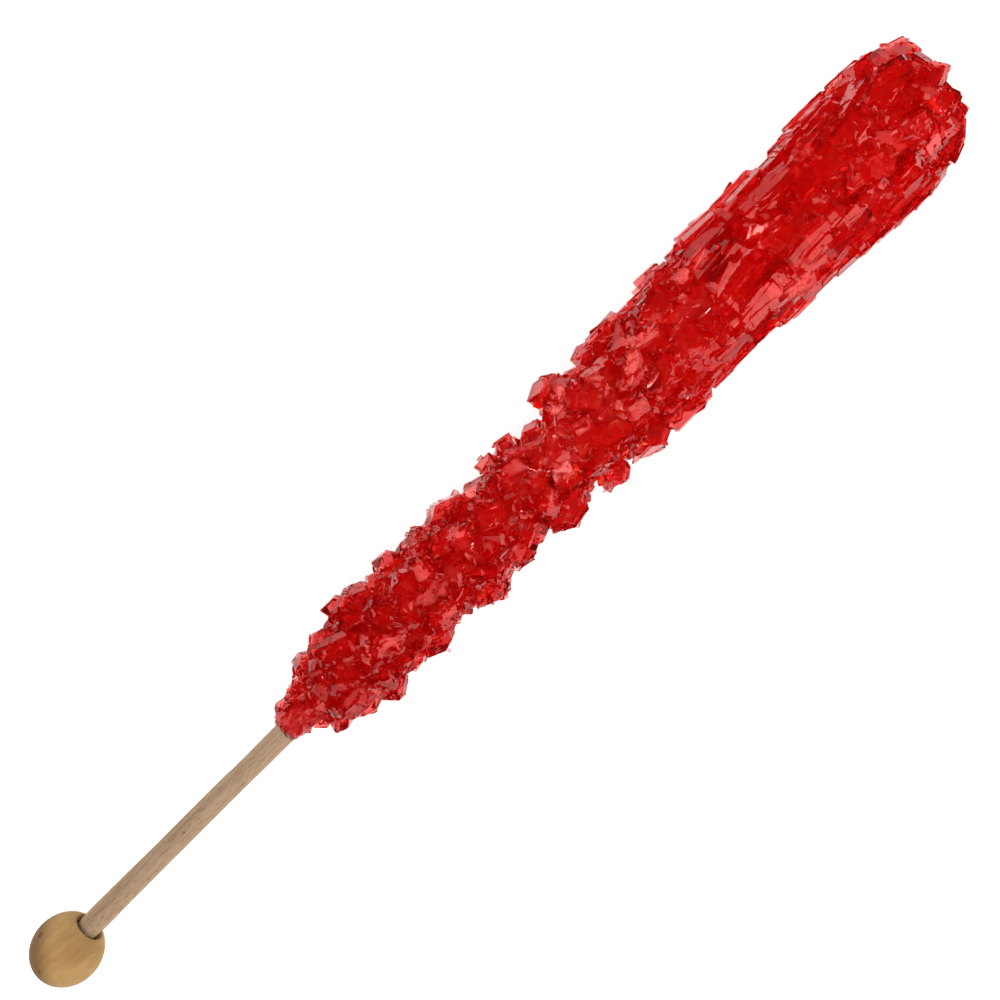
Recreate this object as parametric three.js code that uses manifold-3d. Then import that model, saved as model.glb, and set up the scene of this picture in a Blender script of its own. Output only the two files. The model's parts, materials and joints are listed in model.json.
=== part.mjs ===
// A rock candy stick: red sugar crystals grown round a birch dowel, with a turned wooden bead as its handle.
// It lies on its side on a table. Millimetres, +Z up, +X from the bead towards the candy's tip, and the origin
// on the table under the middle of the bounding box.
import * as THREE from "three";
import { mergeVertices } from "three/addons/utils/BufferGeometryUtils.js";
import Module from "manifold-3d";

// ---- Driving dimensions. Stations run along the stick from the bead's outer end. ----
const BEAD_RADIUS = 5.0;
const BEAD_CENTRE = BEAD_RADIUS;
const BORE_CLEARANCE = 0.3; // between the dowel and the holes that it sits in
const MOUTH_RADIUS = 2.3; // where the bead's hole opens out
const DOWEL_RADIUS = 1.5875; // an eighth of an inch across
const DOWEL_START = 4.2;
const DOWEL_END = 166;
const DOWEL_CHAMFER = 0.4;

// How far the crystals reach from the dowel's axis: [station, on the +Y side, on the -Y side].
const CANDY_OUTLINE = [
  [48.6, 1.7, 1.7],
  [50.1, 3.0, 2.4],
  [54.0, 5.1, 5.1],
  [59.5, 6.7, 6.9],
  [64.9, 7.7, 7.4],
  [71.4, 7.2, 7.3],
  [81.7, 7.6, 7.8],
  [91.1, 6.4, 7.0],
  [97.0, 7.2, 7.8],
  [101.4, 6.3, 6.5],
  [106.8, 8.5, 8.2],
  [122.5, 8.6, 8.3],
  [136.2, 9.2, 8.7],
  [147.9, 8.8, 9.5],
  [156.7, 9.5, 10.3],
  [167.8, 9.8, 9.2],
  [170.6, 9.2, 8.4],
  [171.3, 7.8, 7.4],
  [171.6, 0.01, 0.01],
];
const CORE_DEPTH = 2.1; // the solid sugar between the crystals lies this far below their tips
const CORE_SIDES = 14;
const CORE_RINGS = 26;
const BORE_SIDES = 20;
const BORE_LEAD = 8; // the bore's cutter starts this far before the candy

// The axis climbs from the bead's centre, one bead radius up, to this height under the thick end.
const THICK_STATION = 157.6;
const THICK_HEIGHT = 9.1;
const TIP_WEAR = 0.8; // the lowest crystals are blunted by this much where they bear on the table

// Sugar's unit cell, whose shape sets the angles between a crystal's faces.
const CELL = { a: 10.86, b: 8.71, c: 7.76, beta: THREE.MathUtils.degToRad(102.95) };

// Crystals near the bead are small and jumbled; those near the tip are long plates that lie along the stick.
const SCATTERED = 233;
const JUMBLED_UNTIL = 103;
const ORDERED_FROM = 130;
const SEED = 20;

// Crystals at both ends of the candy are shorter: by this share right at the end, and less away from it.
const ROOT_SHORTER = 0.4;
const ROOT_SHORTER_UNTIL = 60;
const TIP_SHORTER = 0.45;
const TIP_SHORTER_FROM = 162;
const TIP_SHORTEST_AT = 169;

// Crystals that stand out from the rest, listed from the bead to the tip. angle is round the stick, in degrees
// from straight up towards +Y; reach is measured from the axis; turn is [yaw, pitch, roll] in degrees.
const SPURS = [
  { station: 50.3, angle: 88, reach: 3.8, size: [2.6, 2.2, 2.0], turn: [150, 20, 10] },
  { station: 55.4, angle: -88, reach: 6.1, size: [4.4, 3.4, 3.0], turn: [35, 30, 10] },
  { station: 57.1, angle: 86, reach: 6.6, size: [4.6, 3.4, 3.0], turn: [20, 35, 30] },
  { station: 59.6, angle: -88, reach: 7.2, size: [5.2, 4.0, 3.4], turn: [-10, 20, 20] },
  { station: 60.6, angle: 88, reach: 7.1, size: [4.6, 3.6, 3.2], turn: [15, 20, -10] },
  { station: 63.0, angle: -92, reach: 8.5, size: [5.0, 4.0, 3.4], turn: [-30, 30, 40] },
  { station: 65.2, angle: 84, reach: 8.7, size: [3.2, 3.0, 2.8], turn: [60, 50, 0] },
  { station: 68.4, angle: 78, reach: 8.5, size: [5.0, 4.0, 3.4], turn: [10, 25, 20] },
  { station: 71.6, angle: 88, reach: 7.2, size: [4.2, 3.4, 3.0], turn: [30, 25, 0] },
  { station: 72.4, angle: -84, reach: 8.2, size: [5.4, 4.6, 3.8], turn: [20, 15, 30] },
  { station: 74.7, angle: 86, reach: 8.3, size: [4.0, 3.2, 2.8], turn: [50, 50, 10] },
  { station: 79.9, angle: 88, reach: 7.7, size: [5.2, 3.8, 3.2], turn: [-15, 25, 30] },
  { station: 82.2, angle: -88, reach: 8.9, size: [5.6, 4.4, 4.0], turn: [-35, 25, 15] },
  { station: 85.4, angle: 88, reach: 8.1, size: [6.4, 4.6, 3.6], turn: [15, 20, 10] },
  { station: 89.3, angle: -88, reach: 7.8, size: [5.6, 4.2, 3.4], turn: [25, 25, 35] },
  { station: 90.0, angle: 88, reach: 6.7, size: [5.4, 3.6, 3.2], turn: [-10, 15, 20] },
  { station: 92.4, angle: -86, reach: 7.0, size: [4.6, 3.6, 3.0], turn: [20, 20, 10] },
  { station: 93.7, angle: 90, reach: 7.5, size: [3.6, 3.0, 2.8], turn: [80, 60, 0] },
  { station: 97.4, angle: 86, reach: 8.0, size: [3.6, 2.6, 2.6], turn: [100, 60, 20] },
  { station: 97.2, angle: -86, reach: 8.8, size: [7.0, 5.8, 5.2], turn: [15, 10, 25] },
  { station: 101.1, angle: 90, reach: 6.7, size: [5.0, 4.0, 3.4], turn: [-20, 20, 15] },
  { station: 101.7, angle: -88, reach: 6.8, size: [5.0, 3.8, 3.4], turn: [30, 20, 5] },
  { station: 105.3, angle: -88, reach: 9.2, size: [4.8, 3.8, 3.6], turn: [-20, 35, 10] },
  { station: 106.6, angle: 84, reach: 9.9, size: [4.8, 4.4, 4.0], turn: [35, 25, 5] },
  { station: 112.7, angle: -86, reach: 9.4, size: [6.4, 4.6, 4.2], turn: [-25, 25, 0] },
  { station: 114.5, angle: 88, reach: 9.3, size: [6.0, 4.4, 4.0], turn: [5, 20, 30] },
  { station: 117.1, angle: -88, reach: 9.1, size: [5.4, 4.2, 3.8], turn: [15, 30, 20] },
  { station: 118.0, angle: 86, reach: 9.5, size: [4.2, 3.4, 3.2], turn: [70, 55, 15] },
  { station: 120.2, angle: -90, reach: 9.7, size: [5.0, 4.6, 4.0], turn: [30, 30, 20] },
  { station: 121.6, angle: 88, reach: 8.8, size: [6.0, 4.4, 3.8], turn: [8, 12, 15] },
  { station: 126.8, angle: -86, reach: 8.8, size: [9.6, 5.0, 4.0], turn: [4, 4, 10] },
  { station: 128.8, angle: 82, reach: 9.8, size: [7.0, 5.0, 4.2], turn: [10, 20, 10] },
  { station: 132.6, angle: -88, reach: 8.6, size: [10.5, 4.6, 3.6], turn: [2, 2, 8] },
  { station: 138.0, angle: 80, reach: 10.1, size: [9.0, 6.4, 5.0], turn: [-10, 12, 10] },
  { station: 140.5, angle: -92, reach: 9.8, size: [4.0, 3.0, 2.6], turn: [40, 50, 30] },
  { station: 144.0, angle: 86, reach: 10.1, size: [6.0, 5.0, 4.0], turn: [12, 14, 25] },
  { station: 155.2, angle: -78, reach: 11.3, size: [15.0, 6.4, 5.6], turn: [4, -5, 12] },
  { station: 158.8, angle: 84, reach: 10.4, size: [8.0, 6.0, 5.0], turn: [-8, 8, 15] },
  { station: 166.4, angle: 82, reach: 10.2, size: [8.0, 6.4, 5.4], turn: [8, 8, 5] },
  { station: 165.6, angle: -84, reach: 9.6, size: [8.0, 5.6, 5.0], turn: [-6, -6, 15] },
];

const wasm = await Module();
wasm.setup();

// ---- Solids to and from three.js geometry ----

function solidOf(geometry) {
  const bare = geometry.index ? geometry.toNonIndexed() : geometry.clone();
  const points = new THREE.BufferGeometry();
  points.setAttribute("position", bare.getAttribute("position"));
  const merged = mergeVertices(points, 1e-4);
  return new wasm.Manifold(
    new wasm.Mesh({
      numProp: 3,
      vertProperties: merged.attributes.position.array,
      triVerts: new Uint32Array(merged.index.array),
    }),
  );
}

function geometryOf(solid) {
  const mesh = solid.getMesh();
  const geometry = new THREE.BufferGeometry();
  geometry.setAttribute("position", new THREE.BufferAttribute(mesh.vertProperties, 3));
  geometry.setIndex(new THREE.BufferAttribute(mesh.triVerts, 1));
  const faceted = geometry.toNonIndexed();
  faceted.computeVertexNormals();
  return faceted;
}

// The outer shell of a joined solid, without the sealed hollows and loose scraps that joining leaves.
function outerShell(solid) {
  return solid.decompose().reduce((a, b) => (a.volume() > b.volume() ? a : b));
}

// ---- Where the candy's surface lies ----

const average = (row) => (row[1] + row[2]) / 2;
const meanProfile = new THREE.SplineCurve(
  CANDY_OUTLINE.map((row) => new THREE.Vector2(row[0], average(row))),
);

// The value of one function of an outline row, between the rows.
function alongOutline(station, value) {
  const last = CANDY_OUTLINE.length - 2;
  let i = CANDY_OUTLINE.findIndex((row) => row[0] > station) - 1;
  if (i < 0) i = station < CANDY_OUTLINE[0][0] ? 0 : last;
  const [from, to] = [CANDY_OUTLINE[i], CANDY_OUTLINE[i + 1]];
  const share = THREE.MathUtils.clamp((station - from[0]) / (to[0] - from[0]), 0, 1);
  return THREE.MathUtils.lerp(value(from), value(to), share);
}

const CLIMB = Math.asin((THICK_HEIGHT - BEAD_RADIUS) / (THICK_STATION - BEAD_CENTRE));
const axisHeight = (station) => BEAD_RADIUS + (station - BEAD_CENTRE) * Math.sin(CLIMB);

// The crystals grew unevenly, so the candy's middle wanders off the dowel: sideways by the outline, and up by
// whatever lets its underside follow the table.
function candyMiddle(station) {
  const sideways = alongOutline(station, (row) => (row[1] - row[2]) / 2);
  const radius = alongOutline(station, average);
  const up = Math.max(0, radius - axisHeight(station) - TIP_WEAR);
  return new THREE.Vector3(0, sideways, up);
}

// A point of the candy's surface, with the directions outwards and along the stick. angle is from up towards +Y.
function surfaceAt(share, angle) {
  const point = meanProfile.getPointAt(share);
  const tangent = meanProfile.getTangentAt(share);
  const radial = new THREE.Vector3(0, Math.sin(angle), Math.cos(angle));
  const axial = new THREE.Vector3(1, 0, 0);
  const mix = (alongAxis, outward) =>
    axial.clone().multiplyScalar(alongAxis).addScaledVector(radial, outward);
  return {
    station: point.x,
    point: mix(point.x, point.y).add(candyMiddle(point.x)),
    outward: mix(-tangent.y, tangent.x),
    along: mix(tangent.x, tangent.y),
  };
}

// ---- Sugar crystals ----

function seededRandom(seed) {
  let state = seed;
  return () => {
    state = (state + 0x6d2b79f5) | 0;
    let t = Math.imul(state ^ (state >>> 15), 1 | state);
    t = (t + Math.imul(t ^ (t >>> 7), 61 | t)) ^ t;
    return ((t ^ (t >>> 14)) >>> 0) / 4294967296;
  };
}
const random = seededRandom(SEED);
const between = (low, high) => low + (high - low) * random();

// The normal of crystal face (h k l), with x along the crystal's length and z across its flat side.
function faceNormal(h, k, l) {
  const { a, b, c, beta } = CELL;
  return new THREE.Vector3(
    k / b,
    l / c,
    (h / a - (l * Math.cos(beta)) / c) / Math.sin(beta),
  ).normalize();
}

const SIDE_FACES = [faceNormal(0, 0, 1), faceNormal(0, 0, -1)];
const SLOPE_FACES = [faceNormal(1, 0, -1), faceNormal(-1, 0, 1)];
const ROOF_FACES = [
  faceNormal(1, 1, 0),
  faceNormal(-1, 1, 0),
  faceNormal(1, -1, 0),
  faceNormal(-1, -1, 0),
];

// One crystal about the origin: a block cut by sugar's own faces, each at its own distance, so that no two
// crystals match though their angles do.
function crystal([length, width, thickness]) {
  let solid = solidOf(new THREE.BoxGeometry(length, width * 1.3, thickness));
  const cut = (normal, distance) => {
    solid = solid.trimByPlane(normal.clone().negate().toArray(), -distance);
  };
  SIDE_FACES.forEach((face) => cut(face, (width / 2) * between(0.82, 1.05)));
  SLOPE_FACES.forEach((face) => cut(face, (width / 2) * between(0.8, 1.1)));
  ROOF_FACES.forEach((face) => cut(face, (length / 2) * between(0.72, 0.9)));
  return solid;
}

// Turns a crystal from lying on the surface, length along the stick, and moves it until its highest corner
// reaches the given height over the surface point.
function planted(solid, place, turn, over) {
  const basis = new THREE.Matrix4().makeBasis(
    place.along,
    place.outward.clone().cross(place.along),
    place.outward,
  );
  const [yaw, pitch, roll] = turn.map(THREE.MathUtils.degToRad);
  basis.multiply(new THREE.Matrix4().makeRotationFromEuler(new THREE.Euler(roll, pitch, yaw, "ZYX")));
  const turned = solid.transform(basis.elements);
  const { vertProperties, numVert } = turned.getMesh();
  let highest = 0;
  for (let i = 0; i < numVert; i++) {
    const corner = new THREE.Vector3().fromArray(vertProperties, 3 * i);
    highest = Math.max(highest, corner.dot(place.outward));
  }
  const at = place.point.clone().addScaledVector(place.outward, over - highest);
  return turned.translate(at.toArray());
}

const GOLDEN_ANGLE = Math.PI * (3 - Math.sqrt(5));
const AREA_STEPS = 400;

// Shares of the profile's length that cut the candy's surface into equal areas, one for each crystal.
function evenShares(count) {
  const running = [0];
  for (let i = 0; i < AREA_STEPS; i++) {
    running.push(running[i] + meanProfile.getPointAt((i + 0.5) / AREA_STEPS).y);
  }
  const whole = running[AREA_STEPS];
  const shares = [];
  for (let n = 0, i = 0; n < count; n++) {
    const wanted = ((n + 0.5) / count) * whole;
    while (running[i + 1] < wanted) i++;
    const part = (wanted - running[i]) / (running[i + 1] - running[i]);
    shares.push((i + part) / AREA_STEPS);
  }
  return shares;
}

function scatteredCrystal(share, index) {
  const angle = index * GOLDEN_ANGLE + between(-0.25, 0.25);
  const place = surfaceAt(share, angle);
  const order = THREE.MathUtils.smoothstep(place.station, JUMBLED_UNTIL, ORDERED_FROM);
  const mixed = (jumbled, ordered) => THREE.MathUtils.lerp(jumbled, ordered, order);
  const awayFromRoot = THREE.MathUtils.smoothstep(place.station, CANDY_OUTLINE[0][0], ROOT_SHORTER_UNTIL);
  const atTip = THREE.MathUtils.smoothstep(place.station, TIP_SHORTER_FROM, TIP_SHORTEST_AT);
  const kept = 1 - ROOT_SHORTER * (1 - awayFromRoot) - TIP_SHORTER * atTip;
  const length = between(mixed(4.2, 6.5), mixed(6.4, 11.0)) * kept;
  const width = length * between(mixed(0.6, 0.5), mixed(0.85, 0.7));
  const thickness = Math.max(width * between(0.6, 0.85), 2.6);
  const turn = [
    between(-1, 1) * mixed(90, 28),
    between(-1, 1) * mixed(60, 13),
    between(-1, 1) * mixed(180, 24),
  ];
  return planted(crystal([length, width, thickness]), place, turn, between(-0.9, 0.35));
}

// A spur's surface point: its share of the profile is found from its station.
function spur({ station, angle, reach, size, turn }) {
  const radial = THREE.MathUtils.degToRad(angle);
  const place = {
    point: new THREE.Vector3(station, 0, 0),
    outward: new THREE.Vector3(0, Math.sin(radial), Math.cos(radial)),
    along: new THREE.Vector3(1, 0, 0),
  };
  return planted(crystal(size), place, turn, reach);
}

// ---- The candy ----

// A body of revolution round the stick's axis from [station, radius] pairs that start and end on the axis.
function turnedAlongStick(pairs, sides) {
  const profile = pairs.map(([station, radius]) => new THREE.Vector2(radius, station));
  return solidOf(new THREE.LatheGeometry(profile, sides).rotateZ(-Math.PI / 2));
}

function candyCore() {
  const rings = Array.from({ length: CORE_RINGS }, (_, i) => i / (CORE_RINGS - 1));
  const pairs = rings.map((share) => {
    const { x, y } = meanProfile.getPointAt(share);
    return [x, Math.max(y - CORE_DEPTH, DOWEL_RADIUS + 0.5)];
  });
  const first = [pairs[0][0], 0];
  const last = [DOWEL_END + 5, 0];
  const inside = pairs.filter(([station]) => station < last[0]);
  return turnedAlongStick([first, ...inside, last], CORE_SIDES);
}

function candySolid() {
  const crystals = evenShares(SCATTERED).map(scatteredCrystal);
  const joined = outerShell(wasm.Manifold.union([candyCore(), ...crystals, ...SPURS.map(spur)]));
  const [boreStart, boreEnd] = [CANDY_OUTLINE[0][0] - BORE_LEAD, DOWEL_END + BORE_CLEARANCE];
  const boreRadius = DOWEL_RADIUS + BORE_CLEARANCE;
  const bore = turnedAlongStick(
    [
      [boreStart, 0],
      [boreStart, boreRadius],
      [boreEnd, boreRadius],
      [boreEnd, 0],
    ],
    BORE_SIDES,
  );
  const tableNormal = [Math.sin(CLIMB), 0, Math.cos(CLIMB)];
  const tableOffset = BEAD_CENTRE * Math.sin(CLIMB) - BEAD_RADIUS;
  return outerShell(joined.subtract(bore).trimByPlane(tableNormal, tableOffset));
}

// ---- The dowel and the bead ----

const WOOD_SIDES = 28;

function dowelSolid() {
  return turnedAlongStick(
    [
      [DOWEL_START, 0],
      [DOWEL_START, DOWEL_RADIUS - DOWEL_CHAMFER],
      [DOWEL_START + DOWEL_CHAMFER, DOWEL_RADIUS],
      [DOWEL_END - DOWEL_CHAMFER, DOWEL_RADIUS],
      [DOWEL_END, DOWEL_RADIUS - DOWEL_CHAMFER],
      [DOWEL_END, 0],
    ],
    WOOD_SIDES,
  );
}

// The bead is a ball with a blind hole whose mouth is eased.
function beadSolid() {
  const arcs = 16;
  const mouthAngle = Math.asin(MOUTH_RADIUS / BEAD_RADIUS);
  const outside = Array.from({ length: arcs + 1 }, (_, i) => {
    const turn = Math.PI + (mouthAngle - Math.PI) * (i / arcs);
    return [
      BEAD_CENTRE + BEAD_RADIUS * Math.cos(turn),
      Math.max(0, BEAD_RADIUS * Math.sin(turn)),
    ];
  });
  const mouth = BEAD_CENTRE + BEAD_RADIUS * Math.cos(mouthAngle);
  const boreRadius = DOWEL_RADIUS + BORE_CLEARANCE;
  const hole = [
    [mouth - 0.7, boreRadius],
    [DOWEL_START - BORE_CLEARANCE, boreRadius],
    [DOWEL_START - BORE_CLEARANCE, 0],
  ];
  return turnedAlongStick([...outside, ...hole], WOOD_SIDES);
}

// ---- The scene ----

function piece(name, solid, color, roughness) {
  const material = new THREE.MeshStandardMaterial({ color, roughness, metalness: 0 });
  const mesh = new THREE.Mesh(geometryOf(solid), material);
  mesh.name = name;
  return mesh;
}

const stick = new THREE.Group();
stick.add(
  piece("candy", candySolid(), 0xba1815, 0.12),
  piece("dowel", dowelSolid(), 0xad9072, 0.7),
  piece("bead", beadSolid(), 0xb08c5c, 0.55),
);
stick.rotation.y = -CLIMB;

const part = new THREE.Group();
part.add(stick);
part.updateMatrixWorld(true);
const box = new THREE.Box3().setFromObject(part, true);
const middle = box.getCenter(new THREE.Vector3());
stick.position.set(-middle.x, -middle.y, -box.min.z);

export default part;
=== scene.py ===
import json
import math
import random

import bpy
from mathutils import Euler, Matrix, Vector, noise

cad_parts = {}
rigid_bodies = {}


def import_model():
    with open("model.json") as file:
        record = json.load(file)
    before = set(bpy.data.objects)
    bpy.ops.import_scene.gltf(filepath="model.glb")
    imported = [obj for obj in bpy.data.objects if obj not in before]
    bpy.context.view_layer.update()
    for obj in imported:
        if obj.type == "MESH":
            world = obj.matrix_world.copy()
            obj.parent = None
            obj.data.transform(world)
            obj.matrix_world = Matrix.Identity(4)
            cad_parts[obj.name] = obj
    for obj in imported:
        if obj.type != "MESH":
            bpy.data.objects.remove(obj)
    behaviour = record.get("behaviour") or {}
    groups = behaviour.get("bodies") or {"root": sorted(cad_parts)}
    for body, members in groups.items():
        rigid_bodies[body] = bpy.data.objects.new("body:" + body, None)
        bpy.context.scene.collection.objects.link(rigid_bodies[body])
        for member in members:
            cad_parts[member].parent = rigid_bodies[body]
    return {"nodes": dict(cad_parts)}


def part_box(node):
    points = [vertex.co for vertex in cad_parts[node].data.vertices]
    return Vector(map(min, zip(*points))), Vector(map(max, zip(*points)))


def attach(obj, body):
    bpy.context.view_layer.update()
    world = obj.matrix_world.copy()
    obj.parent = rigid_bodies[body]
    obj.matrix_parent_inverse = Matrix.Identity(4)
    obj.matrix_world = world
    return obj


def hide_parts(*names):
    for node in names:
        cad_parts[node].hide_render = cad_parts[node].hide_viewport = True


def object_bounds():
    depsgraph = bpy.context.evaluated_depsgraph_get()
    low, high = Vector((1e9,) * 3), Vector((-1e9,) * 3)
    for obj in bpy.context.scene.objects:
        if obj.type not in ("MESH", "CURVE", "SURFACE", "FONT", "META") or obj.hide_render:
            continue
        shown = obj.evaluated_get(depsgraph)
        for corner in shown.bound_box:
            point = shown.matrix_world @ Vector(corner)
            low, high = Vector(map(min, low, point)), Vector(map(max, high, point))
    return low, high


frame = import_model()
cad_box = [list(corner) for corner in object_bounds()]

# ---- Dowel ----
# A plain birch dowel, an eighth of an inch across, that carries the whole sweet. One end is pushed
# into the bead, where the wood swells a little round the mouth; the rest runs up inside the sugar.

MM = 0.001
DOWEL_RADIUS = 1.5875 * MM
DOWEL_START = 4.2 * MM  # stations along the stick are measured from the bead's outer end
DOWEL_SIDES = 72
DOWEL_EDGE = 0.4 * MM
DOWEL_MARK = 28.9 * MM  # the station of a dark speck in the wood's upper side
DOWEL_MARK_SIZE = 0.22 * MM

dowel_low, dowel_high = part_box("dowel")
middle_y = (dowel_low.y + dowel_high.y) / 2
dowel_foot = Vector((dowel_low.x, middle_y, dowel_low.z + DOWEL_RADIUS))
dowel_tip = Vector((dowel_high.x, middle_y, dowel_high.z - DOWEL_RADIUS))
along = (dowel_tip - dowel_foot).normalized()
dowel_length = (dowel_tip - dowel_foot).length

# Where the stick lies: x runs along it from the bead's outer end, and z is up and square to it.
stick_place = Matrix.Translation(dowel_foot - along * DOWEL_START) @ Matrix.Rotation(
    -math.asin(along.z), 4, "Y"
)


def take_up(piece):
    """Makes one object the only selected one, ready for an operator."""
    if bpy.context.object and bpy.context.object.mode == "EDIT":
        bpy.ops.object.mode_set(mode="OBJECT")
    bpy.ops.object.select_all(action="DESELECT")
    piece.select_set(True)
    bpy.context.view_layer.objects.active = piece


def choose(piece, wanted, kind="vertices"):
    """Opens a piece in edit mode with only the wanted vertices, edges or faces selected."""
    take_up(piece)
    mode = {"vertices": "VERT", "edges": "EDGE", "polygons": "FACE"}[kind]
    bpy.ops.object.mode_set(mode="EDIT")
    bpy.ops.mesh.select_mode(type=mode)
    bpy.ops.mesh.select_all(action="DESELECT")
    bpy.ops.object.mode_set(mode="OBJECT")
    for element in getattr(piece.data, kind):
        element.select = bool(wanted(element))
    bpy.ops.object.mode_set(mode="EDIT")


def choose_all(piece):
    """Opens a piece in edit mode with all of it selected."""
    take_up(piece)
    bpy.ops.object.mode_set(mode="EDIT")
    bpy.ops.mesh.select_all(action="SELECT")


def close_up(piece):
    """Leaves edit mode with every face turned outwards, as the highest point shows."""
    bpy.ops.mesh.select_all(action="SELECT")
    bpy.ops.mesh.normals_make_consistent(inside=False)
    bpy.ops.object.mode_set(mode="OBJECT")
    highest = max(piece.data.vertices, key=lambda vertex: vertex.co.z)
    if highest.normal.z < 0:
        choose_all(piece)
        bpy.ops.mesh.flip_normals()
        bpy.ops.object.mode_set(mode="OBJECT")


def lay_on_stick(piece, name):
    """Names a piece made in the stick's own directions, and moves its mesh to where the stick lies."""
    take_up(piece)
    bpy.ops.object.transform_apply(location=True, rotation=True, scale=True)
    piece.data.transform(stick_place)
    piece.name = piece.data.name = name


class Reading:
    """A number or colour on its way through a material, so that sums on it can be written as sums."""

    def __init__(self, recipe, socket):
        self.recipe, self.socket = recipe, socket

    def sum_of(self, operation, first, second):
        return self.recipe.node("ShaderNodeMath", {"operation": operation}, {0: first, 1: second})

    def __add__(self, other):
        return self.sum_of("ADD", self, other)

    def __radd__(self, other):
        return self.sum_of("ADD", other, self)

    def __sub__(self, other):
        return self.sum_of("SUBTRACT", self, other)

    def __rsub__(self, other):
        return self.sum_of("SUBTRACT", other, self)

    def __mul__(self, other):
        return self.sum_of("MULTIPLY", self, other)

    def __rmul__(self, other):
        return self.sum_of("MULTIPLY", other, self)

    def __pow__(self, other):
        return self.sum_of("POWER", self, other)


class Recipe:
    """A material, written one node to a line."""

    def __init__(self, name):
        self.material = bpy.data.materials.new(name)
        self.material.use_nodes = True
        self.tree = self.material.node_tree
        self.tree.nodes.clear()

    def node(self, kind, settings, feeds, out=0):
        """One node of any type: its settings come first, then the values or links of its sockets."""
        made = self.tree.nodes.new(kind)
        for name, value in settings.items():
            setattr(made, name, value)
        for key, value in feeds.items():
            if isinstance(value, Reading):
                self.tree.links.new(value.socket, made.inputs[key])
            else:
                made.inputs[key].default_value = value
        return Reading(self, made.outputs[out])

    def place(self):
        return self.node("ShaderNodeTexCoord", {}, {}, "Object")

    def mapped(self, location=(0, 0, 0), rotation=(0, 0, 0), scale=(1, 1, 1)):
        feeds = {"Vector": self.place(), "Location": location, "Rotation": rotation, "Scale": scale}
        return self.node("ShaderNodeMapping", {"vector_type": "POINT"}, feeds)

    def axis(self, vector, name):
        """One of a vector's three numbers."""
        return self.node("ShaderNodeSeparateXYZ", {}, {"Vector": vector}, name)

    def noise(self, vector, scale, detail=3.0, roughness=0.5, distortion=0.0):
        feeds = {
            "Vector": vector,
            "Scale": scale,
            "Detail": detail,
            "Roughness": roughness,
            "Distortion": distortion,
        }
        return self.node("ShaderNodeTexNoise", {}, feeds)

    def ramp(self, value, low, high):
        """0 below low, 1 above high, and smooth between."""
        feeds = {"Value": value, "From Min": low, "From Max": high}
        return self.node("ShaderNodeMapRange", {"interpolation_type": "SMOOTHSTEP"}, feeds)

    def tint(self, factor, first, second):
        feeds = {0: factor, 6: first, 7: second}
        return self.node("ShaderNodeMix", {"data_type": "RGBA"}, feeds, 2)

    def speck(self, centre, size):
        """1 at a place on the piece, and 0 further from it than size."""
        feeds = {0: self.place(), 1: centre}
        away = self.node("ShaderNodeVectorMath", {"operation": "DISTANCE"}, feeds, "Value")
        return self.ramp(away, size, size * 0.55)

    def bump(self, height, distance, strength=1.0):
        feeds = {"Height": height, "Distance": distance, "Strength": strength}
        return self.node("ShaderNodeBump", {}, feeds)

    def finish_with(self, surface, volume=None):
        feeds = {"Surface": surface}
        if volume:
            feeds["Volume"] = volume
        output = self.tree.nodes.new("ShaderNodeOutputMaterial")
        for key, value in feeds.items():
            self.tree.links.new(value.socket, output.inputs[key])
        return self.material


def srgb(red, green, blue):
    """A colour given as it looks on a screen, 0 to 255, in the linear values that materials use."""
    channels = [channel / 255 for channel in (red, green, blue)]
    linear = [c / 12.92 if c <= 0.04045 else ((c + 0.055) / 1.055) ** 2.4 for c in channels]
    return (*linear, 1.0)


def bare_dowel_wood():
    """Pale birch, unvarnished: fine streaks and short dark pores along the grain."""
    wood = Recipe("dowel_wood")
    streaks = wood.noise(wood.mapped(scale=(90, 2600, 2600)), 1.0, 4.0, 0.6)
    bands = wood.noise(wood.mapped(scale=(28, 420, 420)), 1.0, 2.0, 0.5, 0.3)
    pores = wood.ramp(wood.noise(wood.mapped(scale=(900, 7600, 7600)), 1.0, 2.0), 0.56, 0.66)
    shade = wood.tint(wood.ramp(bands, 0.32, 0.68), srgb(134, 107, 81), srgb(158, 131, 102))
    shade = wood.tint(wood.ramp(streaks, 0.3, 0.75) * 0.5, shade, srgb(171, 147, 119))
    shade = wood.tint(pores * 0.42, shade, srgb(92, 66, 46))
    mark = wood.speck(stick_place @ Vector((DOWEL_MARK, 0, DOWEL_RADIUS)), DOWEL_MARK_SIZE)
    shade = wood.tint(mark * 0.7, shade, srgb(70, 48, 34))
    bump = wood.bump(streaks * 0.7 - pores * 0.6, 0.12 * MM, 0.55)
    feeds = {
        "Base Color": shade,
        "Roughness": 0.62 + streaks * 0.15,
        "Normal": bump,
        "Specular IOR Level": 0.3,
    }
    return wood.finish_with(wood.node("ShaderNodeBsdfPrincipled", {}, feeds))


bpy.ops.object.select_all(action="DESELECT")
bpy.ops.mesh.primitive_cylinder_add(
    vertices=DOWEL_SIDES,
    radius=DOWEL_RADIUS,
    depth=dowel_length,
    location=(DOWEL_START + dowel_length / 2, 0, 0),
    rotation=(0, math.pi / 2, 0),
)
dowel = bpy.context.object
bpy.ops.object.transform_apply(location=True, rotation=True, scale=True)
choose(dowel, lambda face: len(face.vertices) > 4, "polygons")
bpy.ops.mesh.bevel(offset=DOWEL_EDGE, segments=3, affect="EDGES")

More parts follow.
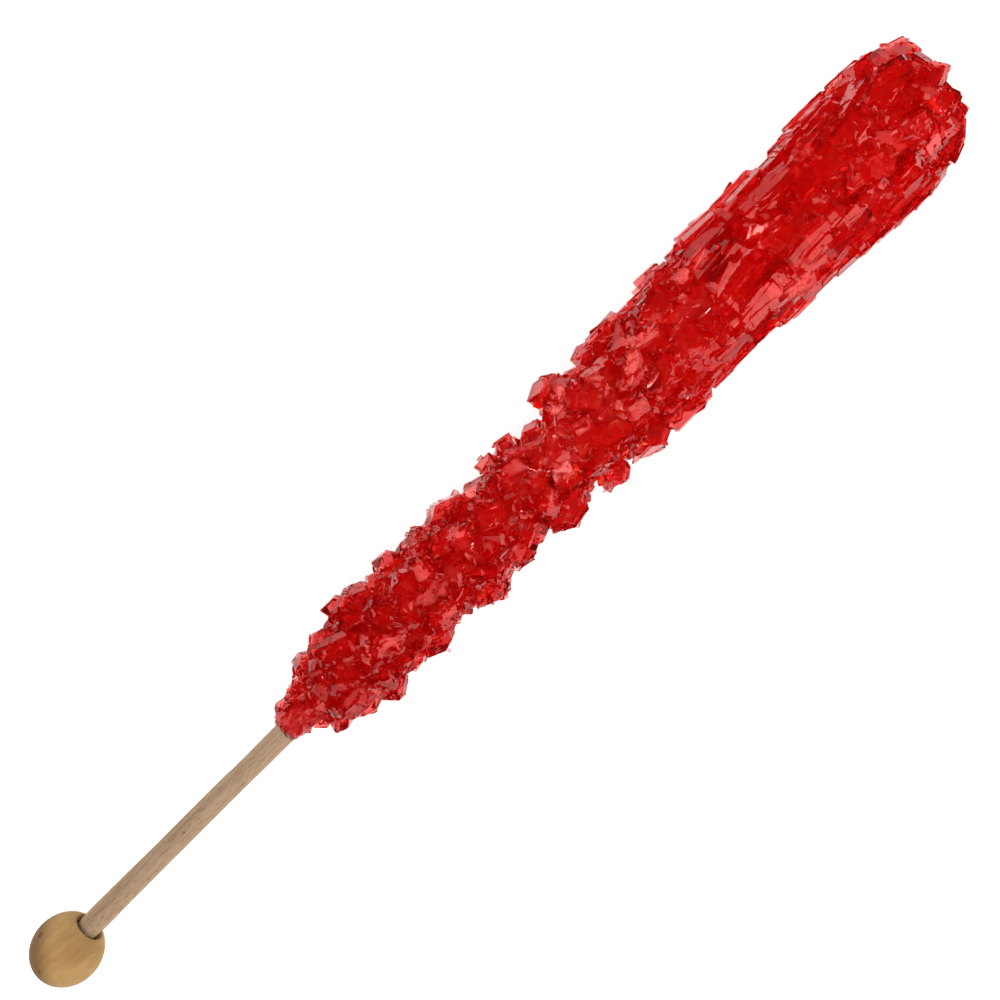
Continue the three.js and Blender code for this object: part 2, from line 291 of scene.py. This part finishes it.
# The wood isn't quite even. Each row is a station in millimetres, the girth there as a share of the
# plain dowel's, and how far its +Y side is worn, in millimetres.
DOWEL_GIRTHS = [
    (8.6, 0.985, 0.0),
    (9.4, 0.985, 0.0),
    (10.0, 1.03, 0.0),
    (11.0, 1.045, 0.0),
    (12.2, 1.01, 0.0),
    (14.0, 0.99, 0.0),
    (20.0, 0.985, 0.02),
    (25.0, 1.0, 0.06),
    (27.0, 1.01, 0.0),
    (33.0, 1.0, 0.0),
    (38.0, 1.0, 0.03),
    (39.2, 1.015, 0.10),
    (42.0, 1.02, 0.04),
    (46.0, 1.02, 0.0),
]
RING_HALF = 0.05 * MM  # a ring's points are within this of its station
WORN_SIDE = 0.6 * DOWEL_RADIUS
for station, girth, wear_and_shade in DOWEL_GIRTHS:
    ring_x = station * MM
    choose_all(dowel)
    bpy.ops.mesh.bisect(plane_co=(ring_x, 0, 0), plane_no=(1, 0, 0))
    bpy.ops.object.mode_set(mode="OBJECT")
    choose(dowel, lambda vertex: abs(vertex.co.x - ring_x) < RING_HALF)
    bpy.ops.transform.resize(value=(1, girth, girth), center_override=(ring_x, 0, 0))
    bpy.ops.object.mode_set(mode="OBJECT")
    choose(dowel, lambda vertex: abs(vertex.co.x - ring_x) < RING_HALF and vertex.co.y > WORN_SIDE)
    bpy.ops.transform.translate(value=(0, -wear_and_shade * MM, 0))
choose_all(dowel)
close_up(dowel)
bpy.ops.object.shade_smooth_by_angle(angle=math.radians(30))
lay_on_stick(dowel, "birch_dowel")
dowel.data.materials.append(bare_dowel_wood())
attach(dowel, "root")
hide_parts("dowel")

# ---- Bead ----
# A ball turned from birch. It is drilled part way through for the dowel, and the mouth of the hole
# is eased, which leaves a dark gap round the wood.

BEAD_CENTRE = 5.0 * MM
BEAD_RADIUS = 4.94 * MM
BEAD_SIDES = 96
BEAD_RINGS = 60
MOUTH_RADIUS = 2.2 * MM
MOUTH_EASE = 0.22 * MM
MOUTH_EASE_DEPTH = 0.25 * MM
MOUTH_ROUNDING = 0.12 * MM
THROAT_DEPTH = 0.45 * MM  # over which the eased mouth narrows to the bore
BORE_RADIUS = 1.78 * MM
BORE_DEPTH = 4.8 * MM
GRAIN_LEAN = math.radians(-30)
RING_PHASE = 4600.0  # radians a metre, which puts the growth rings 1.4 mm apart

# From the bead's centre, in millimetres: the middle of its growth rings, and its dark specks with
# their sizes.
BEAD_PITH = (-1.7, -10.9, 0.0)
BEAD_SPECKS = [((0.5, 4.0, 2.9), 0.5), ((-2.3, 0.6, 4.3), 0.3)]


def turned_bead_wood():
    """Yellower birch, sanded and waxed: growth rings that sweep over the bead, fine streaks, and
    painted shade towards its outer end.
    """
    wood = Recipe("bead_wood")
    centre = stick_place @ Vector((BEAD_CENTRE, 0, 0))
    warp = wood.noise(wood.mapped(scale=(160, 260, 260)), 1.0, 2.0)
    lean = Euler((0, GRAIN_LEAN, 0))
    pith = lean.to_matrix() @ centre + Vector(BEAD_PITH) * MM
    rings_place = wood.mapped(location=-pith, rotation=lean)
    split = wood.axis(rings_place, "X")
    rise = wood.axis(rings_place, "Y")
    away = (split * split + rise * rise) ** 0.5 + warp * (2.6 * MM)
    rings = wood.node("ShaderNodeMath", {"operation": "SINE"}, {0: away * RING_PHASE})
    along_rings = {"X": split * 260.0, "Y": away * 2600.0, "Z": 0.0}
    grain_place = wood.node("ShaderNodeCombineXYZ", {}, along_rings)
    streaks = wood.noise(grain_place, 1.0, 4.0, 0.62)
    patches = wood.noise(wood.mapped(scale=(170, 240, 240)), 1.0, 2.0)
    shade = wood.tint(wood.ramp(patches, 0.3, 0.7), srgb(148, 112, 67), srgb(166, 131, 82))
    shade = wood.tint(wood.ramp(streaks, 0.35, 0.75) * 0.5, shade, srgb(178, 144, 92))
    shade = wood.tint(wood.ramp(rings, 0.9, 1.0) * 0.2, shade, srgb(128, 86, 46))
    # Painted shade: the wood's colour is darkened towards the bead's outer end and its +Y side, where
    # less light falls.
    ball_place = wood.mapped(location=-centre)
    shaded_side = wood.axis(ball_place, "Y") * 0.9 - wood.axis(ball_place, "X")
    wear_and_shade = wood.ramp(shaded_side, -0.4 * MM, 4.4 * MM)
    shade = wood.tint(wear_and_shade * 0.85, shade, srgb(92, 64, 36))
    for speck_place, size in BEAD_SPECKS:
        speck_centre = Vector((BEAD_CENTRE, 0, 0)) + Vector(speck_place) * MM
        mark = wood.speck(stick_place @ speck_centre, size * MM)
        shade = wood.tint(mark * 0.8, shade, srgb(84, 52, 24))
    bump = wood.bump(streaks * 0.5 - rings * 0.05, 0.06 * MM, 0.5)
    feeds = {
        "Base Color": shade,
        "Roughness": 0.55 + streaks * 0.16,
        "Normal": bump,
        "Specular IOR Level": 0.15,
    }
    return wood.finish_with(wood.node("ShaderNodeBsdfPrincipled", {}, feeds))


bpy.ops.object.select_all(action="DESELECT")
bpy.ops.mesh.primitive_uv_sphere_add(
    segments=BEAD_SIDES,
    ring_count=BEAD_RINGS,
    radius=BEAD_RADIUS,
    location=(BEAD_CENTRE, 0, 0),
    rotation=(0, math.pi / 2, 0),
)
bead = bpy.context.object
bpy.ops.object.transform_apply(location=True, rotation=True, scale=True)
mouth_x = BEAD_CENTRE + math.sqrt(BEAD_RADIUS**2 - MOUTH_RADIUS**2)
choose_all(bead)
bpy.ops.mesh.bisect(
    plane_co=(mouth_x, 0, 0),
    plane_no=(1, 0, 0),
    use_fill=True,
    clear_outer=True,
    threshold=0.001 * MM,
)
bpy.ops.object.mode_set(mode="OBJECT")
choose(bead, lambda face: len(face.vertices) > 4 and face.center.x > BEAD_CENTRE, "polygons")
bpy.ops.mesh.inset(thickness=MOUTH_EASE, depth=-MOUTH_EASE_DEPTH)
bpy.ops.mesh.inset(thickness=MOUTH_RADIUS - MOUTH_EASE - BORE_RADIUS, depth=-THROAT_DEPTH)
bpy.ops.mesh.extrude_region_move(TRANSFORM_OT_translate={"value": (-BORE_DEPTH, 0, 0)})
bpy.ops.object.mode_set(mode="OBJECT")
choose(
    bead,
    lambda edge: all(abs(bead.data.vertices[v].co.x - mouth_x) < 0.02 * MM for v in edge.vertices),
    "edges",
)
bpy.ops.mesh.bevel(offset=MOUTH_ROUNDING, segments=3, affect="EDGES")
close_up(bead)
bpy.ops.object.shade_smooth_by_angle(angle=math.radians(40))
lay_on_stick(bead, "turned_bead")
bead.data.materials.append(turned_bead_wood())
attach(bead, "root")
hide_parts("bead")

# ---- Packed sugar ----
# The sugar that grew first, close to the wood: red crystals so many and so small that light doesn't
# get through them. Its lumps follow the large crystals outside, and it has small ones of its own.

CANDY_ROOT = 48.6 * MM
CANDY_MIDDLE = 110 * MM
ROOT_SPILL = 0.6 * MM  # how far crystals may reach past the solid's root, along the bare wood
SKIN = 0.02 * MM  # how far inside the solid's box every crystal stays
PACKED_SHARE = (0.985, 0.85, 0.87)  # of the whole candy's length, width and height
PACKED_THINNER = (95 * MM, 0.88)  # up to this station, by this share
PACKED_THICKER = (140 * MM, 1.01)  # from this station on
HEART_RADIUS = 1.85 * MM  # sugar takes the place of the wood inside
HEART_START = 0.3 * MM  # past the candy's root
HEART_CLEAR = 1.1 * HEART_RADIUS

# Sugar's own crystal: the sides of its unit cell, set against each other, and the angle between two
# of them. Each face is cut at a random share of the way out.
SUGAR_CELL = {"a": 10.86, "b": 8.71, "c": 7.76, "beta": math.radians(102.95)}
SIDE_SHARES = (0.82, 1.05)
SLOPE_SHARES = (0.75, 1.1)
ROOF_SHARES = (0.62, 0.92)
CUT_BLOCK = 1.3  # the uncut block's width, as a share of the crystal's
SHORT_EDGE = 0.004  # of the crystal's length

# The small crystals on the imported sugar: how many, and their lengths and how far they stand out, in
# millimetres.
PACKED_CRYSTALS = 4200
CHIP_LENGTHS = (0.7, 1.9)
CHIP_RISES = (-0.1, 0.35)
CHIP_CLEAR = 1.2 * HEART_RADIUS
ROOT_CHIPS = (0.5 * MM, 5 * MM)  # from the root, the stretch where they also stand on the heart
TUMBLE = (180, 60, 180)  # the most that a loose crystal is turned about each axis, in degrees

# Where the red gets darker towards the root, along the stick from its middle.
PACKED_DARK = (-5 * MM, -28 * MM)

growth = random.Random(11)
to_stick = stick_place.inverted()
candy_low, candy_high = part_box("candy")
candy_low.x -= ROOT_SPILL


def sugar_face(h, k, l):
    """The way sugar's face (h k l) looks, with x along the crystal and z across its flat side."""
    a, b, c, beta = (SUGAR_CELL[key] for key in ("a", "b", "c", "beta"))
    return Vector((k / b, l / c, (h / a - l * math.cos(beta) / c) / math.sin(beta))).normalized()


def sugar_crystal(width, thickness, sloped=True):
    """One crystal, a unit long: a block that is cut by sugar's own faces, each at its own distance."""
    bpy.ops.object.select_all(action="DESELECT")
    bpy.ops.mesh.primitive_cube_add(size=1)
    crystal = bpy.context.object
    crystal.scale = (1.0, width * CUT_BLOCK, thickness)
    bpy.ops.object.transform_apply(scale=True)
    side = [(sugar_face(0, 0, l), width / 2 * growth.uniform(*SIDE_SHARES)) for l in (1, -1)]
    slope = [(sugar_face(h, 0, -h), width / 2 * growth.uniform(*SLOPE_SHARES)) for h in (1, -1)]
    roof = [(sugar_face(h, k, 0), 0.5 * growth.uniform(*ROOF_SHARES)) for h in (1, -1) for k in (1, -1)]
    for direction, away in side + slope * sloped + roof:
        choose_all(crystal)
        bpy.ops.mesh.bisect(
            plane_co=direction * away, plane_no=direction, use_fill=True, clear_outer=True
        )
        bpy.ops.object.mode_set(mode="OBJECT")
    choose_all(crystal)
    bpy.ops.mesh.remove_doubles(threshold=SHORT_EDGE)
    close_up(crystal)
    return crystal


def crystal_kinds(count, widths, thicknesses, sloped=True):
    """A few different crystals to copy, with widths and thicknesses drawn from these ranges."""
    return [
        sugar_crystal(growth.uniform(*widths), growth.uniform(*thicknesses), sloped)
        for _ in range(count)
    ]


def random_turn(*most):
    """A random turn about each axis, no further than the most for it, in degrees."""
    return [growth.uniform(-angle, angle) for angle in most]


def share_between(value, low, high):
    """0 at low, 1 at high, and smooth between."""
    share = min(1.0, max(0.0, (value - low) / (high - low)))
    return share * share * (3 - 2 * share)


def surface_spots(piece, count):
    """Random spots on a mesh, spread evenly over its area, each with its face's direction and size."""
    mesh = piece.data
    mesh.calc_loop_triangles()
    triangles = mesh.loop_triangles
    corners = [[mesh.vertices[v].co.copy() for v in t.vertices] for t in triangles]
    chosen = growth.choices(range(len(corners)), weights=[t.area for t in triangles], k=count)
    spots = []
    for index in chosen:
        first, second, third = corners[index]
        u, v = growth.random(), growth.random()
        if u + v > 1:
            u, v = 1 - u, 1 - v
        facing = (second - first).cross(third - first).normalized()
        room = math.sqrt((second - first).cross(third - first).length / 2)
        spots.append((first + (second - first) * u + (third - first) * v, facing, room))
    return spots


def crystal_standing(kind, spot, facing, length, over, turn):
    """A copy of a crystal that rises over a spot, turned from lying flat there along the stick."""
    side = facing.cross(along)
    if side.length < 0.3:
        side = facing.cross(Vector((0, 1, 0)))
    side.normalize()
    basis = Matrix((side.cross(facing), side, facing)).transposed()
    turned = basis @ Euler([math.radians(angle) for angle in turn]).to_matrix()
    mesh = kind.data.copy()
    mesh.transform((turned * length).to_4x4())
    highest = max(vertex.co.dot(facing) for vertex in mesh.vertices)
    mesh.transform(Matrix.Translation(spot + facing * (over - highest)))
    return bpy.data.objects.new("crystal", mesh)


def fits(crystal):
    """Whether all of a crystal is inside the space that the whole candy fills, or just off its root."""
    return all(
        candy_low[axis] + SKIN < vertex.co[axis] < candy_high[axis] - SKIN
        for vertex in crystal.data.vertices
        for axis in range(3)
    )


def fuse(mass, crystals):
    """Fuses crystals into the sugar that they stand on, so that all of it has one skin."""
    pile = bpy.data.collections.new("pile")
    bpy.context.scene.collection.children.link(pile)
    for crystal in crystals:
        pile.objects.link(crystal)
    take_up(mass)
    joint = mass.modifiers.new("fuse", "BOOLEAN")
    joint.operation, joint.solver = "UNION", "MANIFOLD"
    joint.operand_type, joint.collection = "COLLECTION", pile
    bpy.ops.object.modifier_apply(modifier=joint.name)
    for crystal in crystals:
        bpy.data.objects.remove(crystal)
    bpy.data.collections.remove(pile)


def copy_of_solid_candy(name, share):
    """The candy's solid as one closed mesh, a little smaller, with sugar in place of its bore."""
    copy = bpy.data.objects.new(name, frame["nodes"]["candy"].data.copy())
    bpy.context.scene.collection.objects.link(copy)
    copy.data.materials.clear()
    copy.data.transform(to_stick)
    choose_all(copy)
    bpy.ops.mesh.remove_doubles(threshold=0.001 * MM)
    bpy.ops.transform.resize(value=share, center_override=(CANDY_MIDDLE, 0, 0))
    bpy.ops.object.mode_set(mode="OBJECT")
    lay_on_stick(copy, name)
    bpy.ops.object.select_all(action="DESELECT")
    heart_length = dowel_length + DOWEL_START - CANDY_ROOT
    bpy.ops.mesh.primitive_cylinder_add(
        vertices=24,
        radius=HEART_RADIUS,
        depth=heart_length,
        location=(CANDY_ROOT + heart_length / 2 + HEART_START, 0, 0),
        rotation=(0, math.pi / 2, 0),
    )
    heart = bpy.context.object
    lay_on_stick(heart, "heart")
    bpy.context.scene.collection.objects.unlink(heart)
    fuse(copy, [heart])
    return copy


def one_skin(piece):
    """Drops what joining leaves behind: hollows closed off inside, and other materials' places."""
    top = max(vertex.co.z for vertex in piece.data.vertices)
    choose(piece, lambda vertex: vertex.co.z == top)
    bpy.ops.mesh.select_linked(delimit=set())
    bpy.ops.mesh.select_all(action="INVERT")
    bpy.ops.mesh.delete(type="VERT")
    bpy.ops.object.mode_set(mode="OBJECT")
    piece.data.materials.clear()
    for polygon in piece.data.polygons:
        polygon.material_index = 0


def packed_red_sugar():
    """Opaque red, a little orange in specks, and darker in patches and near the root."""
    sugar = Recipe("packed_sugar")
    patches = sugar.noise(sugar.place(), 260.0, 2.0)
    pieces = {"Vector": sugar.place(), "Scale": 620.0}
    tones = sugar.node("ShaderNodeTexVoronoi", {}, pieces, "Color")
    tones = sugar.node("ShaderNodeSeparateColor", {}, {"Color": tones}, "Red")
    tones = tones + sugar.ramp(patches, 0.35, 0.65) * 0.6
    deep, bright = (0.86, 0.0, 0.0, 1.0), (0.96, 0.006, 0.002, 1.0)
    shade = sugar.tint(sugar.ramp(tones, 0.1, 0.75), deep, bright)
    shade = sugar.tint(sugar.ramp(tones, 0.95, 1.5), shade, (0.96, 0.06, 0.02, 1.0))
    darker = sugar.ramp(sugar.axis(sugar.place(), "X"), *PACKED_DARK)
    shade = sugar.tint(darker * 0.55, shade, (0.72, 0.0, 0.0, 1.0))
    feeds = {
        "Base Color": shade,
        "Roughness": 0.1,
        "IOR": 1.5,
        "Specular IOR Level": 0.8,
    }
    return sugar.finish_with(sugar.node("ShaderNodeBsdfPrincipled", {}, feeds))


chips = crystal_kinds(6, (0.6, 0.9), (0.35, 0.7))
packed = copy_of_solid_candy("packed_sugar", PACKED_SHARE)
packed.data.transform(to_stick)
for (station, share), ahead in ((PACKED_THINNER, -1), (PACKED_THICKER, 1)):
    choose(
        packed,
        lambda vertex: (vertex.co.x - station) * ahead > 0 and vertex.co.yz.length > HEART_CLEAR,
    )
    bpy.ops.transform.resize(value=(1, share, share), center_override=(station, 0, 0))
    bpy.ops.object.mode_set(mode="OBJECT")
packed.data.transform(stick_place)
spots = surface_spots(packed, PACKED_CRYSTALS)
grown = []
for spot, facing, _ in spots:
    turn = random_turn(*TUMBLE)
    length = growth.uniform(*CHIP_LENGTHS) * MM
    over = growth.uniform(*CHIP_RISES) * MM
    kind = growth.choice(chips)
    on_stick = to_stick @ spot
    reach = math.hypot(on_stick.y, on_stick.z)
    at_root = ROOT_CHIPS[0] < on_stick.x - CANDY_ROOT < ROOT_CHIPS[1]
    if reach > CHIP_CLEAR or at_root:
        crystal = crystal_standing(kind, spot, facing, length, over, turn)
        if fits(crystal):
            grown.append(crystal)
fuse(packed, grown)
one_skin(packed)
packed.data.materials.append(packed_red_sugar())
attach(packed, "root")
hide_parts("candy")

# ---- Rock sugar ----
# The clear red crystals outside, fused to each other. Near the bead they are small and jumbled.
# Towards the tip long flat ones lie along the stick, and between them are clusters of tiny ones.

CLEAR_SHARE = (0.998, 0.965, 0.97)  # of the whole candy's length, width and height
CLEAR_CRYSTALS = 12600
CANDY_TIP = 171.6 * MM
JUMBLED_UNTIL = 112 * MM
ORDERED_FROM = 136 * MM
LEVEL_STRETCH = 4 * MM  # over which the candy's usual reach is worked out
CLUSTER_SIZE = 5.5 * MM

# Along the stick from its middle: where the thin half's paler dye ends, and where it is deepest.
PALE_UNTIL = 15 * MM
DEEP_FROM = 65 * MM

# The shortest crystals of each sort, and how many times as long the longest are.
FLAKE_LENGTH, FLAKE_SPREAD = 0.8 * MM, 2.6
SLAB_LENGTH, SLAB_SPREAD = 3.4 * MM, 2.4
LUMP_LENGTH, LUMP_SPREAD = 0.85 * MM, 3.0
BIT_LENGTH, BIT_SPREAD = 0.6 * MM, 2.8
FLAKE_ROOM = 1.5 * MM  # a face must be this wide to carry flakes that lie flat on it

# More small crystals close the root round the wood: how many, and in millimetres how far from the
# root they are and how far from the middle of the wood.
ROOT_CRYSTALS = 300
ROOT_STATIONS = (-0.2, 4.5)
ROOT_HEIGHTS = (1.9, 2.7)
ROOT_END = 4.6 * MM  # past the root, from where the heart stays bare
ROOT_TAPER = 9 * MM  # crystals are smaller up to this far from the root
TIP_FADE = (8 * MM, 4 * MM)  # before the tip, where the slabs give way to lumps
TIP_CAP = 2.5 * MM  # crystals this near the tip stand out along the stick as well
UNDERSIDE = -0.4  # a spot that looks down more steeply than this carries fewer crystals
UNDERSIDE_BARE = 0.65

# Larger crystals that round off the tip: how far along, aside of and above the stick's middle each
# one's top lies, and how long it is, in millimetres.
TIP_CRYSTALS = [
    (170.3, -2.0, 6.4, 3.8),
    (170.4, -3.6, 6.0, 3.8),
    (170.3, -3.2, 4.4, 4.0),
    (169.9, -5.2, 5.4, 4.0),
    (170.0, -5.2, 3.6, 4.0),
    (168.9, -6.8, 4.6, 4.0),
    (168.6, -7.2, 3.0, 4.2),
    (167.4, -8.2, 3.6, 4.0),
]


def dyed_sugar():
    """Clear sugar dyed red: pale pink where it is thin and deep red where it is thick."""
    sugar = Recipe("rock_sugar")
    grain = sugar.noise(sugar.place(), 500.0, 2.0)
    dye = sugar.ramp(sugar.axis(sugar.place(), "X"), PALE_UNTIL, DEEP_FROM)
    feeds = {
        "Base Color": sugar.tint(dye, (0.87, 0.68, 0.66, 1.0), (0.94, 0.47, 0.44, 1.0)),
        "Roughness": 0.02 + sugar.ramp(grain, 0.5, 0.75) * 0.05,
        "Normal": sugar.bump(sugar.noise(sugar.place(), 420.0, 1.0), 0.04 * MM, 0.15),
        "Specular Tint": (1.0, 0.31, 0.28, 1.0),
        "IOR": 1.46,
        "Transmission Weight": 1.0,
    }
    clear = sugar.node("ShaderNodeBsdfPrincipled", {}, feeds)
    depth = {"Color": (0.91, 0.02, 0.0, 1.0), "Density": 790.0}
    return sugar.finish_with(clear, sugar.node("ShaderNodeVolumeAbsorption", {}, depth))


blocks = crystal_kinds(5, (0.6, 0.9), (0.4, 0.7))
blades = crystal_kinds(5, (0.3, 0.5), (0.16, 0.3), sloped=False)
plates = crystal_kinds(5, (0.6, 0.9), (0.2, 0.34), sloped=False)
slabs = crystal_kinds(5, (0.2, 0.4), (0.12, 0.22))
candy = copy_of_solid_candy("rock_sugar", CLEAR_SHARE)
spots = surface_spots(candy, CLEAR_CRYSTALS)
for _ in range(ROOT_CRYSTALS):
    round_stick = growth.uniform(0, math.tau)
    height = growth.uniform(*ROOT_HEIGHTS) * MM
    station = CANDY_ROOT + growth.uniform(*ROOT_STATIONS) * MM
    facing = Vector((-0.3, math.cos(round_stick), math.sin(round_stick))).normalized()
    spot = Vector((station, height * facing.y, height * facing.z))
    spots.append((stick_place @ spot, stick_place.to_3x3() @ facing, 0.0))
reaches = {}
for spot, _, _ in spots:
    on_stick = to_stick @ spot
    reach = math.hypot(on_stick.y, on_stick.z)
    if reach > HEART_RADIUS:
        reaches.setdefault(int(on_stick.x / LEVEL_STRETCH), []).append(reach)
grown = []
for spot, facing, room in spots:
    on_stick = to_stick @ spot
    order = share_between(on_stick.x, JUMBLED_UNTIL, ORDERED_FROM)
    near_root = 1 - share_between(on_stick.x, CANDY_ROOT, CANDY_ROOT + ROOT_TAPER)
    near_tip = share_between(on_stick.x, CANDY_TIP - TIP_FADE[0], CANDY_TIP - TIP_FADE[1])
    tumble = random_turn(*TUMBLE)
    size = growth.random()
    rise = growth.random()
    flake = growth.choice(growth.choice([plates, plates, blades]))
    lump = growth.choice(growth.choice([blocks, blades, plates]))
    slab = growth.choice(slabs)
    in_order = growth.random() < order
    wanted = growth.random()
    reach = math.hypot(on_stick.y, on_stick.z)
    if reach < HEART_RADIUS * 0.99 and on_stick.x > CANDY_ROOT + ROOT_END:
        continue
    outward = (spot - stick_place @ Vector((on_stick.x, 0, 0))).normalized()
    if on_stick.x > CANDY_TIP - TIP_CAP:
        outward = (outward + along * 1.5).normalized()
    if outward.z < UNDERSIDE and wanted < UNDERSIDE_BARE:
        continue
    usual = reaches.get(int(on_stick.x / LEVEL_STRETCH), [reach])
    high = share_between(reach / (sum(usual) / len(usual)), 0.98, 1.12)
    flank = share_between(abs(outward.z), 0.75, 0.35)
    cluster = noise.noise(on_stick / CLUSTER_SIZE) + 0.6 * (outward.z - 0.75) > 0
    among_slabs = in_order and not cluster
    if room > FLAKE_ROOM and wanted > 0.3 + 0.4 * flank and not (among_slabs and wanted < 0.75):
        # A flake lies flat on a large crystal's face.
        length = min(FLAKE_LENGTH * FLAKE_SPREAD**size, 0.8 * room) * (1 - 0.4 * near_tip)
        over = (0.04 + 0.16 * rise) * MM
        loose = share_between(facing.z, 0.2, 0.7) * (1 - order)
        turn = [
            tumble[0] / 16 * (1 + loose),
            tumble[1] / 6 * (1 + loose),
            tumble[2] * (1 - 0.8 * order),
        ]
        crystal = crystal_standing(flake, spot, facing, length, over, turn)
    elif among_slabs and near_tip < 0.5:
        # A slab lies along the stick.
        if wanted > 0.5:
            continue
        length = SLAB_LENGTH * SLAB_SPREAD**size
        over = (0.05 + 0.25 * rise) * MM
        turn = [tumble[0] / 12, tumble[1] / 12, tumble[2] / 18]
        crystal = crystal_standing(slab, spot, outward, length, over, turn)
    else:
        # A lump points any way and is larger where the candy stands out, or is a bit in a cluster.
        if wanted < max(0.45 * high, 0.8 * flank):
            continue
        length = LUMP_LENGTH * LUMP_SPREAD**size * (1 - 0.25 * near_root)
        length = length * (1 + 0.6 * max(high, flank))
        if in_order:
            length = BIT_LENGTH * BIT_SPREAD**size
        over = (0.6 * rise - 0.1) * (1 - 0.6 * max(high, near_tip)) * MM
        crystal = crystal_standing(lump, spot, outward, length, over, tumble)
    if fits(crystal):
        grown.append(crystal)
for *place, length in TIP_CRYSTALS:
    facing = stick_place.to_3x3() @ Vector((0.35, place[1] / 20, 1)).normalized()
    spot = stick_place @ (Vector(place) * MM)
    turn = random_turn(12, 12, 60)
    crystal = crystal_standing(growth.choice(blocks), spot, facing, length * MM, 0.0, turn)
    if fits(crystal):
        grown.append(crystal)
fuse(candy, grown)
for kind in chips + blocks + blades + plates + slabs:
    bpy.data.objects.remove(kind)
one_skin(candy)
candy.data.materials.append(dyed_sugar())
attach(candy, "root")
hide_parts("candy")

# ---- Studio ----
# A white table that glows a little, three large softboxes round the stick, two small lamps that make
# the facets sparkle, and a dim room. The camera is close over the stick and looks straight down.

FLOOR_HALF = 3.0
bpy.ops.object.select_all(action="DESELECT")
bpy.ops.mesh.primitive_plane_add(size=2 * FLOOR_HALF, location=(0, 0, 0))
floor = bpy.context.object
floor.name = "white_table"
table_top = Recipe("white_table")
white = {
    "Base Color": (0.93, 0.93, 0.93, 1.0),
    "Roughness": 0.6,
    "Specular IOR Level": 0.2,
    "Emission Color": (1.0, 1.0, 1.0, 1.0),
    "Emission Strength": 0.45,
}
top_coat = table_top.node("ShaderNodeBsdfPrincipled", {}, white)
floor.data.materials.append(table_top.finish_with(top_coat))


def soft_lamp(name, place, size, brightness):
    """A square lamp that faces the middle of the stick, as bright as this at every size."""
    bpy.ops.object.select_all(action="DESELECT")
    bpy.ops.object.light_add(type="AREA", location=place)
    lamp = bpy.context.object
    lamp.name = name
    lamp.data.shape = "SQUARE"
    lamp.data.size = size
    lamp.data.energy = math.pi * size * size * brightness
    lamp.rotation_euler = (-Vector(place)).to_track_quat("-Z", "Y").to_euler()


soft_lamp("key_softbox", (0.32, -0.66, 0.42), 0.55, 5.4)
soft_lamp("fill_softbox", (-0.44, -0.25, 0.65), 0.65, 2.8)
soft_lamp("back_softbox", (-0.06, 0.70, 0.50), 0.60, 5.2)
soft_lamp("sparkle_lamp", (0.12, -0.22, 0.56), 0.05, 22.0)
soft_lamp("far_sparkle_lamp", (-0.20, 0.14, 0.55), 0.05, 18.0)

dim_room = bpy.data.worlds.new("room")
dim_room.use_nodes = True
room_light = dim_room.node_tree.nodes["Background"].inputs
room_light["Color"].default_value = (1.0, 0.88, 0.86, 1.0)
room_light["Strength"].default_value = 0.16
bpy.context.scene.world = dim_room
bpy.context.scene.view_settings.view_transform = "Standard"
bpy.context.scene.cycles.max_bounces = 24
bpy.context.scene.cycles.transmission_bounces = 24

CAMERA_ALONG = 91.6 * MM  # from the bead's outer end
CAMERA_ASIDE = 1.53 * MM
CAMERA_HEIGHT = 155 * MM
SHARP_LEVEL = 5 * MM
SHARP_WIDTH = 139 * MM  # the picture's width at that level
STICK_ANGLE = math.radians(45.05)
SENSOR_WIDTH = 36.0
bpy.ops.object.select_all(action="DESELECT")
bpy.ops.object.camera_add(
    location=(cad_box[0][0] + CAMERA_ALONG, middle_y + CAMERA_ASIDE, CAMERA_HEIGHT),
    rotation=(0, 0, -STICK_ANGLE),
)
camera = bpy.context.object
camera.name = "camera"
camera.data.sensor_width = SENSOR_WIDTH
camera.data.lens = SENSOR_WIDTH * (CAMERA_HEIGHT - SHARP_LEVEL) / SHARP_WIDTH
camera.data.clip_start = 0.01
bpy.context.scene.camera = camera
